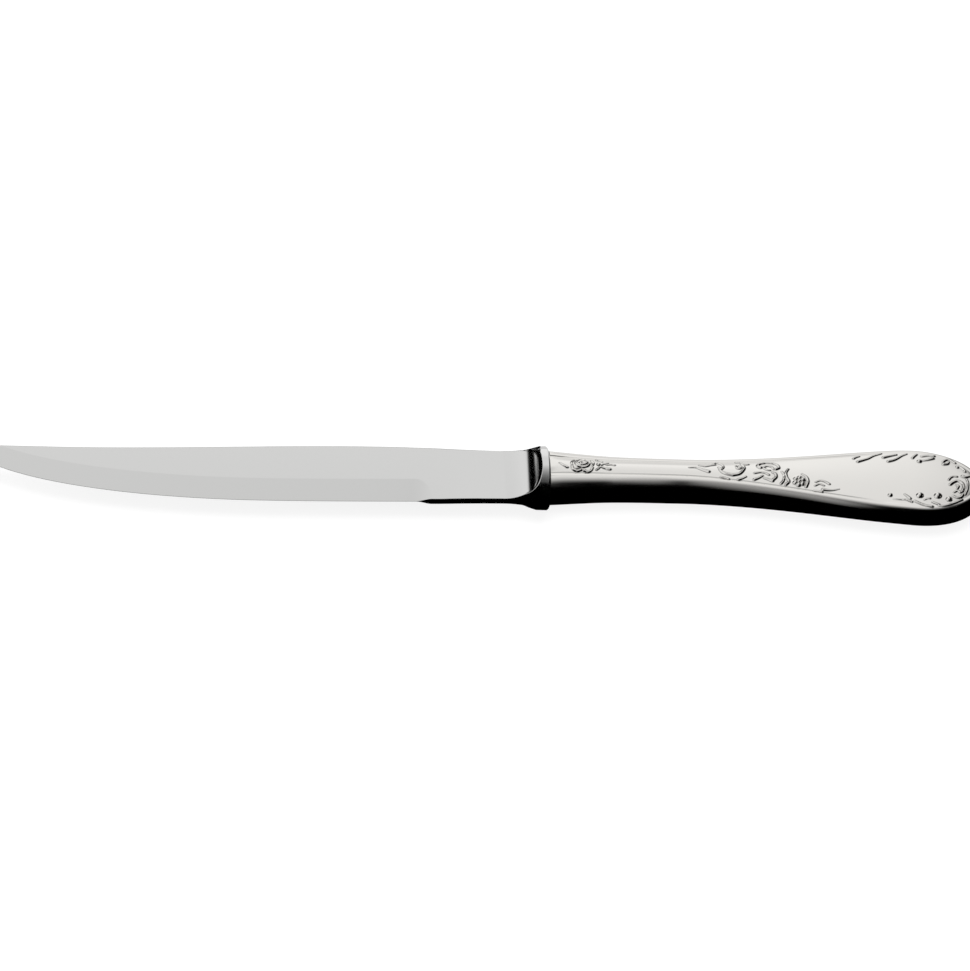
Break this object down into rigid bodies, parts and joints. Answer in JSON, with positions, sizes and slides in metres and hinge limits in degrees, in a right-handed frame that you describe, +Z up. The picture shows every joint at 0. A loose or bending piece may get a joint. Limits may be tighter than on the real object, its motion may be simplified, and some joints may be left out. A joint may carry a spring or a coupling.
{
  "type": "steak knife",
  "caption": "Steak knife with a forged blade, an oval bolster and a hollow stamped silver handle with a bordered panel and rococo relief, for cutting meat at table.",
  "frame": {"origin": "under the middle of the knife's length and height, on the surface that it lies on", "axes": "+X along the handle from the tip to the butt, +Y from the cutting edge to the spine, +Z up out of the front face, with the knife lying on its side"},
  "size_m": [0.2256, 0.0194, 0.0103],
  "materials": {
    "blade_steel": "polished stainless steel with fine grinding lines",
    "handle_silver": "polished silver, slightly darkened in the recesses",
    "solder": "dull silver solder",
    "cement": "hard brown cutler's cement"
  },
  "bodies": {
    "root": {"blade": "blade_steel", "handle_front_shell": "handle_silver", "handle_back_shell": "handle_silver", "seam_solder": "solder", "cement_core": "cement"}
  },
  "joints": []
}
